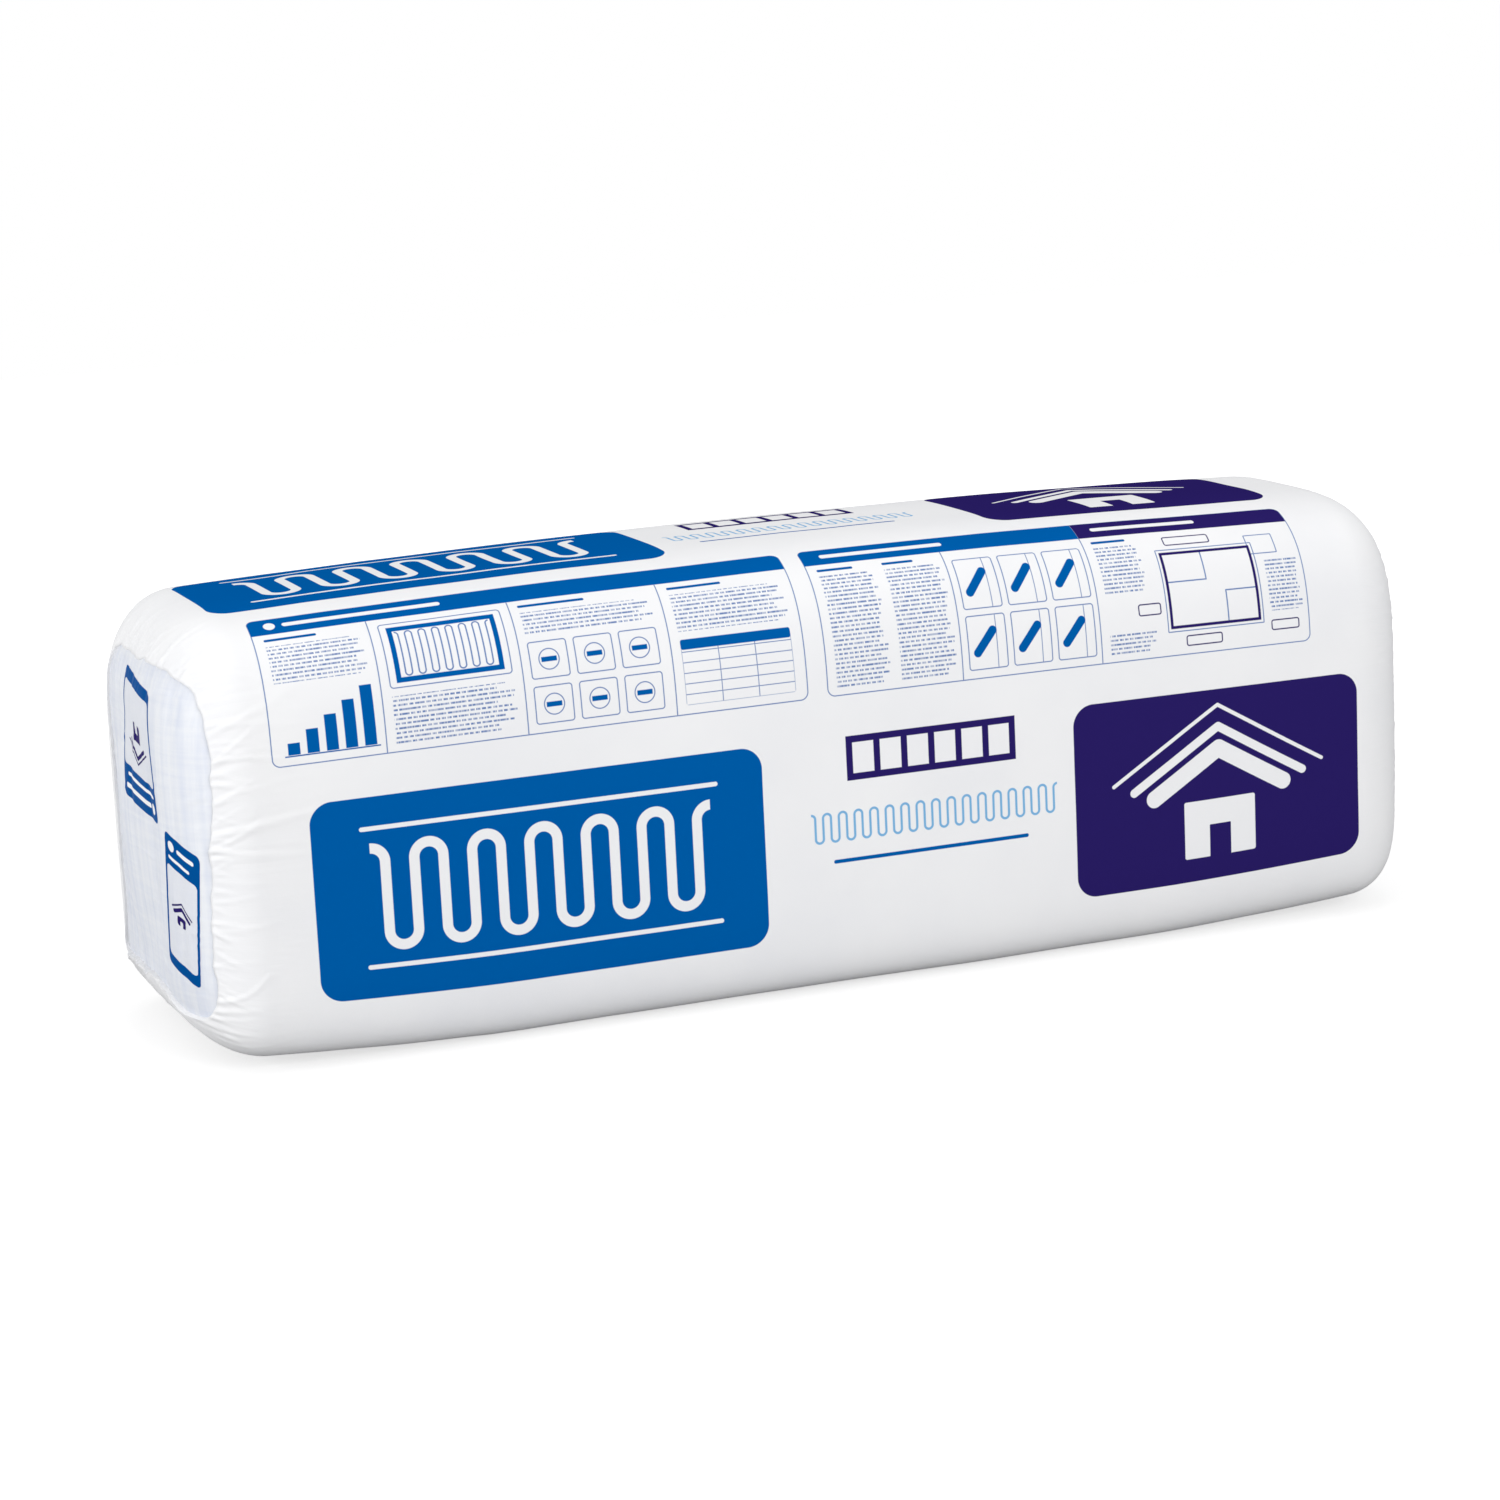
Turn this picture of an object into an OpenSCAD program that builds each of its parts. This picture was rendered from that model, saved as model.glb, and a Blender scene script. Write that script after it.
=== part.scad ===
// Bale of glass wool batts: folded batts pressed on edge into a block, wrapped in printed film.
// Origin: middle of the flat patch that the bale rests on. +X along the length, +Z up. Millimetres.

/* [Bale] */
// Overall length, over the bulge of both ends
bale_l = 1200; // [900:10:2400]
// Overall width, across the pressed layers
bale_w = 350; // [280:5:600]
// Overall height, which is the width of the batts
bale_h = 400; // [300:5:620]

/* [Pressed form] */
// Roundness of the two upper long edges: higher is squarer
shoulder_power = 3.9; // [3:0.1:8]
// Roundness of the two lower long edges: higher is squarer
foot_power = 8.4; // [3:0.1:12]
// How far the rounding of an end reaches back along the length
end_round_l = 73; // [40:1:120]
// How far the rounding of an end reaches in from each side
end_round_side = 90; // [40:1:120]
// How far the rounding of an end reaches down from the top
end_round_top = 88; // [40:1:130]
// How far the rounding of an end reaches up from the underside
end_round_foot = 53; // [40:1:120]
// Bulge of each end face beyond its rounding
end_bulge = 7; // [2:0.5:20]
// Fall of the top from the middle to the ends
top_crown = 12; // [0:0.5:30]
// Length of the tapered stretch between the belly and the rounding of an end
taper_l = 220; // [120:10:250]
// Narrowing of each side along the taper and on to the end face
side_taper = 4; // [0:0.5:20]
// Lift of the underside along the taper and on to the end face
foot_lift = 15; // [4:0.5:30]
// Depth of the belly that lies flattened on the floor
foot_settle = 1; // [1:0.5:8]

/* [Film] */
// Thickness of the film, thicker than the real one so that it is a sound solid
film_t = 1; // [0.6:0.1:3]
// Air left between neighbouring soft pieces
fit_gap = 0.3; // [0.2:0.1:1]
// Angle round the end rounding at which the sleeve's rim stops, at the front
rim_angle_side = 38; // [30:1:75]
// The same angle at the back, where the film reaches further over the end
rim_angle_back = 80; // [30:1:82]
// The same angle at the top
rim_angle_top = 59; // [35:1:75]
// The same angle at the underside
rim_angle_foot = 80; // [35:1:82]
// Waviness of the rim, as an angle
rim_wave = 2; // [0:0.5:4]
// Depth of the gathers where the sleeve is drawn in at its rim
gather_depth = 1.4; // [0:0.2:4]

/* [Batts] */
// Number of folded batts across the width
batt_count = 7; // [3:1:12]
// Air left in the crease between the two leaves of a folded batt
crease_gap = 1.2; // [0.4:0.2:4]

/* [Hidden] */

// Points round one section of the bale, an even multiple of four
around_n = 56;
// Steps of the end rounding before and after the sleeve's rim
rim_steps = 3;
// Rings of an end face, as shares of its size, from its edge to its flat middle
face_shares = [0.7, 0.35];
// Extra below the floor that is cut off to leave one flat patch
floor_cut = 0.5;

end_film_inset = film_t + fit_gap;
half_w = bale_w / 2;
mid_z = bale_h / 2;
face_x = bale_l / 2 - end_bulge + end_film_inset;
round_x = face_x - end_round_l;
belly_x = round_x - taper_l;
batt_inset = end_film_inset + film_t + fit_gap;
batt_pitch = (bale_w - 2 * batt_inset) / batt_count;
leaf_round = (batt_pitch - fit_gap) / 2;

function signed_pow(v, p) = sign(v) * pow(abs(v), p);
function turn(i) = 360 * i / around_n;

// How far the fall of the top has come, from 0 in the middle of the bale to 1 at an end face
function crown_at(x) = pow(x / face_x, 2);

// How far the taper has come, from 0 all along the belly to 1 at an end face
function taper_at(x) = pow(max(0, abs(x) - belly_x) / (face_x - belly_x), 1.5);

// The rim's angle round the end rounding, for each direction round the section
function rim_angle(i) =
    let (
        up = sin(turn(i)),
        back = max(0, cos(turn(i))),
        side = rim_angle_side + (rim_angle_back - rim_angle_side) * back,
        reach = (up > 0 ? rim_angle_top : rim_angle_foot) - side,
        ripple = sin(5 * turn(i) + 40) + 0.6 * sin(11 * turn(i))
    )
    side + reach * pow(abs(up), 1.5) + rim_wave * ripple;

// Angle round the end rounding at a step: the sleeve's rim is at step rim_steps, the end face at twice that
function step_angle(i, step) =
    step <= rim_steps
        ? rim_angle(i) * step / rim_steps
        : rim_angle(i) + (90 - rim_angle(i)) * (step - rim_steps) / rim_steps;

// Depth of the gathers, deepest at the rim and fading out both ways from it
function gather(i, step) =
    gather_depth * (i % 2) * max(0, 1 - abs(step - rim_steps) / 2);

// One point of the bale's skin, set in by inset, at a distance x along it and an angle round its end rounding
function skin_point(i, x, angle, inset) =
    let (
        upper = sin(turn(i)) >= 0,
        power = 2 / (upper ? shoulder_power : foot_power),
        round_z = upper ? end_round_top : end_round_foot,
        side = half_w - side_taper * taper_at(x),
        rise = upper ? mid_z - top_crown * crown_at(x) : mid_z + foot_settle - foot_lift * taper_at(x),
        y = side - end_round_side + (end_round_side - inset) * cos(angle),
        z = rise - round_z + (round_z - inset) * cos(angle),
        floor_z = inset > 0 ? inset : -floor_cut
    )
    [x, y * signed_pow(cos(turn(i)), power), max(floor_z, mid_z + z * signed_pow(sin(turn(i)), power))];

function body_ring(x, inset) = [for (i = [0 : around_n - 1]) skin_point(i, x, 0, inset)];

function rounding_ring(step, inset) =
    [for (i = [0 : around_n - 1])
        let (deep = inset + gather(i, step), angle = step_angle(i, step))
        skin_point(i, round_x + (end_round_l - deep) * sin(angle), angle, deep)];

// A ring on the end face: its edge ring drawn in to a share of its size, and bulging out
function face_ring(share, inset) =
    let (
        last = face_shares[len(face_shares) - 1],
        bulge = end_bulge * (1 - share * share) / (1 - last * last)
    )
    [for (p = rounding_ring(2 * rim_steps, inset))
        [p.x + bulge, p.y * share, mid_z + (p.z - mid_z) * share]];

// Rings of the right half, from the first rounding step asked for to the last, and of the end face
function rounding_rings(first, last, inset) = [for (s = [first : last]) rounding_ring(s, inset)];
function face_rings(inset) = [for (share = face_shares) face_ring(share, inset)];

// The same rings on the left half, in the order that carries on from the middle
function mirrored(rings) = [for (ring = rings) [for (p = ring) [-p.x, p.y, p.z]]];
function reversed(list) = [for (k = [len(list) - 1 : -1 : 0]) list[k]];
function gathered_points(ring) = [for (k = [1 : 2 : len(ring) - 1]) ring[k]];

// Rings of half the body, from the middle of the bale to just before the end rounding starts
function half_body(inset) = [for (x = [0, belly_x, (belly_x + round_x) / 2]) body_ring(x, inset)];

// All rings of a half, and of the whole, from one end to the other
function right_half(last_step, inset) = concat(half_body(inset), rounding_rings(0, last_step, inset));
function whole(last_step, inset) =
    let (half = right_half(last_step, inset))
    concat(mirrored(reversed(half)), [for (k = [1 : len(half) - 1]) half[k]]);

// Side faces between each ring and the next; wrap joins the last ring to the first. A four-sided patch
// is always split from the ring nearer the middle of the bale, so neighbouring skins stay parallel.
function side_faces(rings, wrap) =
    let (n = len(rings), m = len(rings[0]))
    [for (r = [0 : n - (wrap ? 1 : 2)], i = [0 : m - 1])
        let (
            s = (r + 1) % n,
            j = (i + 1) % m,
            a = r * m + i,
            b = r * m + j,
            c = s * m + j,
            d = s * m + i,
            towards_end = abs(rings[s][0].x) > abs(rings[r][0].x)
        )
        each towards_end ? [[a, c, b], [a, d, c]] : [[a, d, b], [b, d, c]]];

// A solid through a list of rings, closed by a flat face at its first and last ring
module loft(rings) {
    n = len(rings);
    m = len(rings[0]);
    ends = [
        [for (i = [0 : m - 1]) i],
        [for (i = [m - 1 : -1 : 0]) (n - 1) * m + i]
    ];
    polyhedron(points = [for (ring = rings) each ring], faces = concat(side_faces(rings, false), ends));
}

// A hollow solid whose last ring joins its first one
module tube(rings) {
    polyhedron(points = [for (ring = rings) each ring], faces = side_faces(rings, true));
}

// The room inside the wrapping, which the pressed batts fill. It takes every second point of the
// film's rings, the ones that the gathers set in, so it lies inside the film everywhere.
module stack_room() {
    middle = [for (x = [-round_x, -belly_x, 0, belly_x]) body_ring(x, batt_inset)];
    right_end = concat(rounding_rings(0, 2 * rim_steps, batt_inset), face_rings(batt_inset));
    left_end = mirrored(reversed([for (k = [1 : len(right_end) - 1]) right_end[k]]));
    loft([for (ring = concat(left_end, middle, right_end)) gathered_points(ring)]);
}

module film_sleeve() {
    outside = whole(rim_steps, 0);
    inside = whole(rim_steps, film_t);
    color("white")
        difference() {
            tube(concat(outside, reversed(inside)));
            translate([-bale_l / 2, -half_w, -2 * floor_cut])
                cube([bale_l, bale_w, 2 * floor_cut]);
        }
}

// The film behind the window of the right end, tucked under the sleeve by one step of the rounding
module end_film() {
    first = rim_steps - 1;
    outside = concat(rounding_rings(first, 2 * rim_steps, end_film_inset), face_rings(end_film_inset));
    deep = end_film_inset + film_t;
    inside = concat(rounding_rings(first, 2 * rim_steps, deep), face_rings(deep));
    color("lavender")
        loft(concat(reversed(inside), outside));
}

module end_film_right() {
    end_film();
}

module end_film_left() {
    mirror([1, 0, 0])
        end_film();
}

// Seen from above, a folded batt: two leaves that join in a round fold, with a crease between them
module folded_outline(start_x, fold_x) {
    difference() {
        union() {
            translate([start_x, -leaf_round])
                square([fold_x - leaf_round - start_x, 2 * leaf_round]);
            translate([fold_x - leaf_round, 0])
                circle(r = leaf_round, $fn = 48);
        }
        translate([start_x - 1, -crease_gap / 2])
            square([fold_x - leaf_round - start_x + 1, crease_gap]);
    }
}

// How far along the bale the room for the batts reaches at a distance y from its middle plane
function room_x(y) =
    let (
        flat_y = half_w - side_taper - end_round_side,
        reach = min(1, max(0, (abs(y) - flat_y) / (end_round_side - batt_inset)))
    )
    round_x + (end_round_l - batt_inset) * sqrt(1 - reach * reach);

// Batt k of the stack, counted from the -Y side, with its fold at the +X end
module batt(k) {
    y = (k - (batt_count + 1) / 2) * batt_pitch;
    color("ivory")
        intersection() {
            stack_room();
            translate([0, y, 0])
                linear_extrude(height = bale_h)
                    folded_outline(-bale_l / 2, room_x(y));
        }
}

film_sleeve();
end_film_left();
end_film_right();
for (k = [1 : batt_count]) batt(k);
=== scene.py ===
"""Looks of a wrapped bale of glass wool batts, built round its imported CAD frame.

Metres, +X along the bale, +Z up, the floor at z = 0. The bale's form follows the same rules as the CAD:
a section that is a superellipse, with ends that round off into a slightly bulging face.
"""

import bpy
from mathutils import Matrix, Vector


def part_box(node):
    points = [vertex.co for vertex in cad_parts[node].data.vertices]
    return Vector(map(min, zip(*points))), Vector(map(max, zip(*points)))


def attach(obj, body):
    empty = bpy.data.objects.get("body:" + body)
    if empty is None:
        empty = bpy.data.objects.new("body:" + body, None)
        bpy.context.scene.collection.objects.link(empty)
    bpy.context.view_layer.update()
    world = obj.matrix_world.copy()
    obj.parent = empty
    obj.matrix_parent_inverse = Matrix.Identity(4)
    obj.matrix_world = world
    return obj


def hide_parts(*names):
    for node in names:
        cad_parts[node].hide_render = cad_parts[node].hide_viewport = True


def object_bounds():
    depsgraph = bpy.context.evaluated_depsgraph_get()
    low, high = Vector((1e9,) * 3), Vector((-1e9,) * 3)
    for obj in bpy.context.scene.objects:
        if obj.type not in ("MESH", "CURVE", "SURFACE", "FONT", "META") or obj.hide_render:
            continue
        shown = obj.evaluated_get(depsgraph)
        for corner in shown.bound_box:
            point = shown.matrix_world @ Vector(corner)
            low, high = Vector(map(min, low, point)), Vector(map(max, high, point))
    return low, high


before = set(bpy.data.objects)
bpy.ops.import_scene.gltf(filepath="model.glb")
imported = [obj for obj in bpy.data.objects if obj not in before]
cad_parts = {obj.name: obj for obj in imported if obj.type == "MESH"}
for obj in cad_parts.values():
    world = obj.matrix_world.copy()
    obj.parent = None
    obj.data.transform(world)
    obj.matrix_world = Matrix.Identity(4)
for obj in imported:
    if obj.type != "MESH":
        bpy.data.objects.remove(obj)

import copy
import math
from functools import partialmethod, reduce

import bpy
import numpy as np
from mathutils import Matrix, Vector

MM = 0.001
cad_low, cad_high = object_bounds()

# ---- the bale's form, as in the CAD

BALE_L, BALE_W, BALE_H = (cad_high - cad_low)
HALF_W = BALE_W / 2
MID_Z = BALE_H / 2
SHOULDER_POWER = 3.9
FOOT_POWER = 8.4
END_ROUND_L = 70 * MM
END_ROUND_SIDE = 90 * MM
END_ROUND_BACK = 114 * MM  # the film drawn further over the end at the back
END_ROUND_TOP = 88 * MM
END_ROUND_FOOT = 69 * MM
END_BULGE = 7 * MM
TOP_CROWN = 12 * MM
TAPER_L = 220 * MM
SIDE_TAPER = 4 * MM
FOOT_LIFT = 15 * MM
FOOT_SETTLE = 1 * MM
END_FILM_INSET = 1.3 * MM
BATT_INSET = 2.6 * MM
FACE_X = BALE_L / 2 - END_BULGE + END_FILM_INSET
ROUND_X = FACE_X - END_ROUND_L
BELLY_X = ROUND_X - TAPER_L

# The rim of the sleeve, as angles round the end rounding, by end where the two differ. At the left end it
# stops early at the front and reaches far over at the back; at the right end it reaches over on both sides.
LEFT, RIGHT = -1, 1
RIM_FRONT = {LEFT: math.radians(32.7), RIGHT: math.radians(75)}
RIM_FRONT_LEAN = math.radians(4.5)  # less above mid height, more below
RIM_BACK = {LEFT: math.radians(88.3), RIGHT: math.radians(70)}
RIM_TOP = math.radians(57.5)
RIM_FOOT = math.radians(80)
RIM_MOST = math.radians(88.5)
RIM_SEED = {LEFT: 12, RIGHT: 11}
RIM_WAVES = ((5, 0.8), (9, 0.6), (14, 0.5), (23, 0.6), (37, 0.45), (58, 0.25))  # number round, and degrees

# ---- film and print

SLEEVE_SKIN = 0.8 * MM  # thickness of the sleeve's film as modelled
WINDOW_INSET = 1.1 * MM  # the end film's depth under the sleeve's outer skin
WINDOW_SKIN = 0.5 * MM

FILM, FILM_CLOUD = (0.82, 0.825, 0.845), (0.86, 0.862, 0.872)
WHITE = (0.84, 0.845, 0.86)  # left bare in the print
BLUE = (0.0, 0.099, 0.365)
VIOLET = (0.021, 0.012, 0.118)
PALE_BLUE = (0.19, 0.43, 0.70)
LABEL_BLUE = (0.0, 0.072, 0.28)
LABEL_FIELD = (0.84, 0.86, 0.92)
WINDOW, WINDOW_THICK, WINDOW_PALE = (0.94, 0.96, 1.0), (0.80, 0.84, 0.94), (0.93, 0.95, 0.99)
WOOL, WOOL_DEEP = (0.90, 0.90, 0.87), (0.70, 0.70, 0.66)
FILM_GLOSS, WINDOW_GLOSS, WOOL_GLOSS = 0.0, 0.005, 0.15
BATTS = range(1, 8)

TAU = 2 * math.pi


def signed_pow(value, power):
    return np.sign(value) * np.abs(value) ** power


def section_power(upper):
    return np.where(upper, SHOULDER_POWER, FOOT_POWER)


def side_round(turn):
    """How far the rounding of an end reaches in from each side, for a direction round the section."""
    return END_ROUND_SIDE + (END_ROUND_BACK - END_ROUND_SIDE) * np.maximum(0, np.cos(turn))


def taper_at(x):
    """How far the taper has come, from 0 all along the belly to 1 at an end face."""
    return (np.maximum(0, np.abs(x) - BELLY_X) / (FACE_X - BELLY_X)) ** 1.5


def half_sizes(x, angle, inset, upper, round_y=END_ROUND_SIDE):
    """Half width and half height of the section at x along the bale and angle round the end rounding."""
    crown = (x / FACE_X) ** 2
    taper = taper_at(x)
    side = HALF_W - SIDE_TAPER * taper
    rise = np.where(upper, MID_Z - TOP_CROWN * crown, MID_Z + FOOT_SETTLE - FOOT_LIFT * taper)
    round_z = np.where(upper, END_ROUND_TOP, END_ROUND_FOOT)
    half_y = side - round_y + (round_y - inset) * np.cos(angle)
    half_z = rise - round_z + (round_z - inset) * np.cos(angle)
    return half_y, half_z


def skin(turn, x, angle, inset):
    """Points of the skin, set in by inset: turn goes round the section, angle round the end rounding."""
    upper = np.sin(turn) >= 0
    power = 2 / section_power(upper)
    half_y, half_z = half_sizes(x, angle, inset, upper, side_round(turn))
    y = half_y * signed_pow(np.cos(turn), power)
    z = MID_Z + half_z * signed_pow(np.sin(turn), power)
    x, y, z = np.broadcast_arrays(x, y, z)
    return np.stack([x, y, np.maximum(inset, z)], axis=-1)


def rounding_x(angle, inset):
    return ROUND_X + (END_ROUND_L - inset) * np.sin(angle)


def face_bulge(y, z):
    """How far an end face stands out beyond its edge at a place (y, z) from its middle: most in the middle,
    and nothing along its edge and in its corners."""
    half_y = HALF_W - SIDE_TAPER - np.where(y > 0, END_ROUND_BACK, END_ROUND_SIDE)
    half_z = MID_Z - np.where(z > 0, TOP_CROWN + END_ROUND_TOP, FOOT_LIFT + END_ROUND_FOOT)
    return END_BULGE * np.maximum(0, 1 - (y / half_y) ** 2 - (z / half_z) ** 2) ** 1.3


def girth_turns(count):
    """count turns spaced evenly round the mid section, from the middle of the underside up the front, and
    the girth at each, measured from the front's mid height."""
    bearing = np.linspace(1.5 * math.pi, -0.5 * math.pi, 7201)
    upper = np.sin(bearing) >= 0
    power = section_power(upper) / 2
    half_y, half_z = half_sizes(0.0, 0.0, 0.0, upper)
    rise, run = signed_pow(np.sin(bearing) / half_z, power), signed_pow(np.cos(bearing) / half_y, power)
    fine = np.unwrap(np.arctan2(rise, run))
    fine += 1.5 * math.pi - fine[0]
    line = skin(fine, np.zeros_like(fine), 0.0, 0.0)
    along = np.concatenate([[0], np.cumsum(np.linalg.norm(np.diff(line, axis=0), axis=1))])
    at = np.linspace(0, along[-1], count + 1)
    turns = np.interp(at, along, fine)
    front = np.interp(-math.pi, -fine, along)
    return turns, at - front


FRONT_TOP = 0.235  # where the front's print ends and the top's begins
PRINT_SHIFT = 8 * MM  # the print's middle from the bale's middle, along it
PRINT_DROP = 7 * MM  # the print's level 0 under the front's mid height
GIRTH = girth_turns(8)[1]
GIRTH_TOP = float((GIRTH[-1] + GIRTH[0]) / 2)  # the girth at the middle of the top


def rim_angle(turn, girth, end):
    """The rim's angle round the rounding of the LEFT or RIGHT end, with long and short waves."""
    up, back = np.sin(turn), np.maximum(0, np.cos(turn)) ** 0.3
    height = np.minimum(girth, 2 * GIRTH_TOP - girth)
    side = RIM_FRONT[end] - RIM_FRONT_LEAN * np.tanh(height / 0.05)
    side = side + (RIM_BACK[end] - side) * back
    over = side + (RIM_TOP - side) * np.abs(up) ** (2.4 + 14 * back)
    under = side + (RIM_FOOT - side) * np.abs(up) ** (2.8 + 8 * back)
    rim = np.where(up > 0, over, under)
    draw = np.random.default_rng(RIM_SEED[end])
    length = GIRTH[-1] - GIRTH[0]
    for waves, size in RIM_WAVES:
        wave = math.radians(size) * np.sin(TAU * waves * girth / length + draw.uniform(0, TAU))
        rim = rim + wave * (1 - 0.6 * back)
    return np.minimum(rim, RIM_MOST)


# ---- noise and meshes


def noise(points, scale, seed):
    """Smooth noise from -1 to 1 at points (..., 3), on a lattice with this spacing in millimetres, or one
    for each axis."""
    p = points / (np.asarray(scale) * MM)
    cell = np.floor(p).astype(np.int64)
    part = p - cell
    part = part * part * (3 - 2 * part)
    total = 0.0
    for corner in range(8):
        step = np.array([corner & 1, corner >> 1 & 1, corner >> 2 & 1])
        at = cell + step
        mixed = (at[..., 0] * 73856093) ^ (at[..., 1] * 19349663) ^ (at[..., 2] * 83492791)
        mixed = mixed ^ (seed * 2654435761)
        mixed = (mixed ^ (mixed >> 13)) * 1274126177
        value = ((mixed ^ (mixed >> 16)) & 0xFFFF) / 32767.5 - 1
        weight = np.where(step, part, 1 - part).prod(axis=-1)
        total = total + value * weight
    return total


def grid_normals(rows):
    """Outward unit normals of a grid of points (row, place round, 3) that closes round on itself."""
    along = np.gradient(rows, axis=0)
    around = np.roll(rows, -1, axis=1) - np.roll(rows, 1, axis=1)
    normal = np.cross(along, around)
    normal /= np.maximum(np.linalg.norm(normal, axis=-1, keepdims=True), 1e-12)
    return normal


def along_film(rows):
    """How far along the film each point of a grid lies from the first row."""
    steps = np.linalg.norm(np.diff(rows, axis=0), axis=-1)
    return np.concatenate([np.zeros((1, rows.shape[1])), np.cumsum(steps, axis=0)])


def add_object(name, data):
    made = bpy.data.objects.new(name, data)
    bpy.context.scene.collection.objects.link(made)
    return made


def mesh_object(name, points, faces, maps=None, materials=None, smooth=True):
    """A mesh. maps gives UV maps by name, a pair for each corner of each face, materials the number of each
    face's material slot, and smooth whether all faces, or which ones, are shaded smooth."""
    mesh = bpy.data.meshes.new(name)
    mesh.from_pydata(points, [], faces)
    mesh.polygons.foreach_set("use_smooth", np.broadcast_to(smooth, len(faces)))
    if materials is not None:
        mesh.polygons.foreach_set("material_index", materials.astype(np.int32).ravel())
    for map_name, pairs in (maps or {}).items():
        layer = mesh.uv_layers.new(name=map_name)
        layer.uv.foreach_set("vector", np.ascontiguousarray(pairs, np.float32).ravel())
    mesh.validate()
    return add_object(name, mesh)


def ring_quads(r, i, s, j, around):
    """Quads between the places i and j of the rows r and s, in a grid with so many places round."""
    corners = [r * around + i, r * around + j, s * around + j, s * around + i]
    return np.stack(corners, axis=-1).reshape(-1, 4)


# ---- wrinkles


WRINKLE_REACH = 135 * MM
# A wrinkle's reach from the rim, width and height, each from and to, in millimetres
LONG_WRINKLE = ((60, 130), (1.8, 3.6), (0.6, 1.5))
SHORT_WRINKLE = ((14, 60), (1.5, 2.6), (0.5, 1.4))


def fold_shape(offset, width, deep, beside):
    """Across a fold: a ridge, and a groove of a share of its height that is so many widths beside it."""
    groove = (offset - beside * width) / width
    return np.exp(-((offset / width) ** 2)) - deep * np.exp(-(groove**2))


def wrinkles(girth, from_rim, seed, count, long_ones):
    """Height of the wrinkles that run from a rim of the sleeve over the film, at a grid of distances from
    that rim along the film."""
    draw = np.random.default_rng(seed)
    length = GIRTH[-1] - GIRTH[0]
    height = np.zeros_like(from_rim)
    near = np.flatnonzero(from_rim.min(axis=1) < WRINKLE_REACH)
    distance = from_rim[near]
    total = np.zeros_like(distance)
    for k in range(count):
        start = draw.uniform(0, length)
        kind = LONG_WRINKLE if k < long_ones else SHORT_WRINKLE
        reach, width, tall = (draw.uniform(*span) * MM for span in kind)
        slant = draw.normal(0, 0.28)
        bend = draw.normal(0, 2.5)
        offset = girth - GIRTH[0] - start - slant * distance - bend * distance**2
        offset = (offset + length / 2) % length - length / 2
        fade = np.clip(1 - distance / reach, 0, 1) ** 1.3 * np.clip(0.25 + distance / (9 * MM), 0, 1)
        total += tall * fade * fold_shape(offset, width, 0.45, 1.7)
    height[near] = total
    return height


# ---- the sleeve

AROUND = 700
ROUND_ROWS = 24
NEAR_ROWS = 18
NEAR_START = ROUND_X - 0.115
SLEEVE_FOLDS = 380, 70  # wrinkles along each rim, and how many of them are long
LEFT_SEED, RIGHT_SEED = 21, 22
RIGHT_SHARE = 0.6  # of the left end's wrinkles, in height
HEM = 1.3 * MM  # how far the sleeve stands up along its left rim at the back


def sleeve_rows():
    """Places along the right half of the sleeve, from its middle to its rim: x in the body, then shares of
    the rim. A row lies on each border of a printed area."""
    shifts = PRINT_SHIFT, -PRINT_SHIFT
    sides = {abs(side + shift) for area in AREAS for side in area[1:3] for shift in shifts}
    stops = [0.0, *sorted(side for side in sides if side < NEAR_START), NEAR_START]
    body = [
        np.linspace(start, end, max(1, round((end - start) / 0.026)), endpoint=False)
        for start, end in zip(stops, stops[1:])
    ]
    near = np.linspace(NEAR_START, ROUND_X, NEAR_ROWS, endpoint=False)
    return np.concatenate([*body, near]), np.linspace(0, 1, ROUND_ROWS)


def half_sleeve(turn, rim, inset, xs, shares):
    """Points of the right half, and how far along the print each row lies."""
    body_x = np.repeat(xs[:, None], len(turn), 1)
    angle = shares[:, None] * rim
    rounding = skin(turn, rounding_x(angle, inset), angle, inset)
    along = np.concatenate([body_x, ROUND_X + angle * (END_ROUND_L + END_ROUND_SIDE) / 2])
    return np.concatenate([skin(turn, body_x, 0.0, inset), rounding]), along


def mirror_rows(rows):
    """Rows of points, or of places along the bale, turned over to the other half."""
    return rows[::-1] * (np.array([-1, 1, 1]) if rows.ndim == 3 else -1)


def bake_girth(girth):
    """The girth as a share from 0 to 1, the plain underside squeezed to leave the print more room."""
    plain = 0.35
    stops = np.array([GIRTH[0], -0.16, 2 * GIRTH_TOP + 0.16, GIRTH[-1]])
    steps = np.diff(stops) * np.array([plain, 1, plain])
    shares = np.concatenate([[0], np.cumsum(steps)]) / steps.sum()
    return np.interp(girth, stops, shares)


def whole_sleeve(turn, rims, inset, xs, shares):
    """Points in rows from the left rim to the right one, and how far along the print each lies."""
    left, right = [half_sleeve(turn, rim, inset, xs, shares) for rim in rims]
    return [np.concatenate([mirror_rows(a)[:-1], b]) for a, b in zip(left, right)]


def creased(points, spacing, seed):
    """Thin ridges up to 1 high, along the lines where smooth noise changes sign."""
    return np.maximum(0, 1 - 3.2 * np.abs(noise(points, spacing, seed)))


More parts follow.
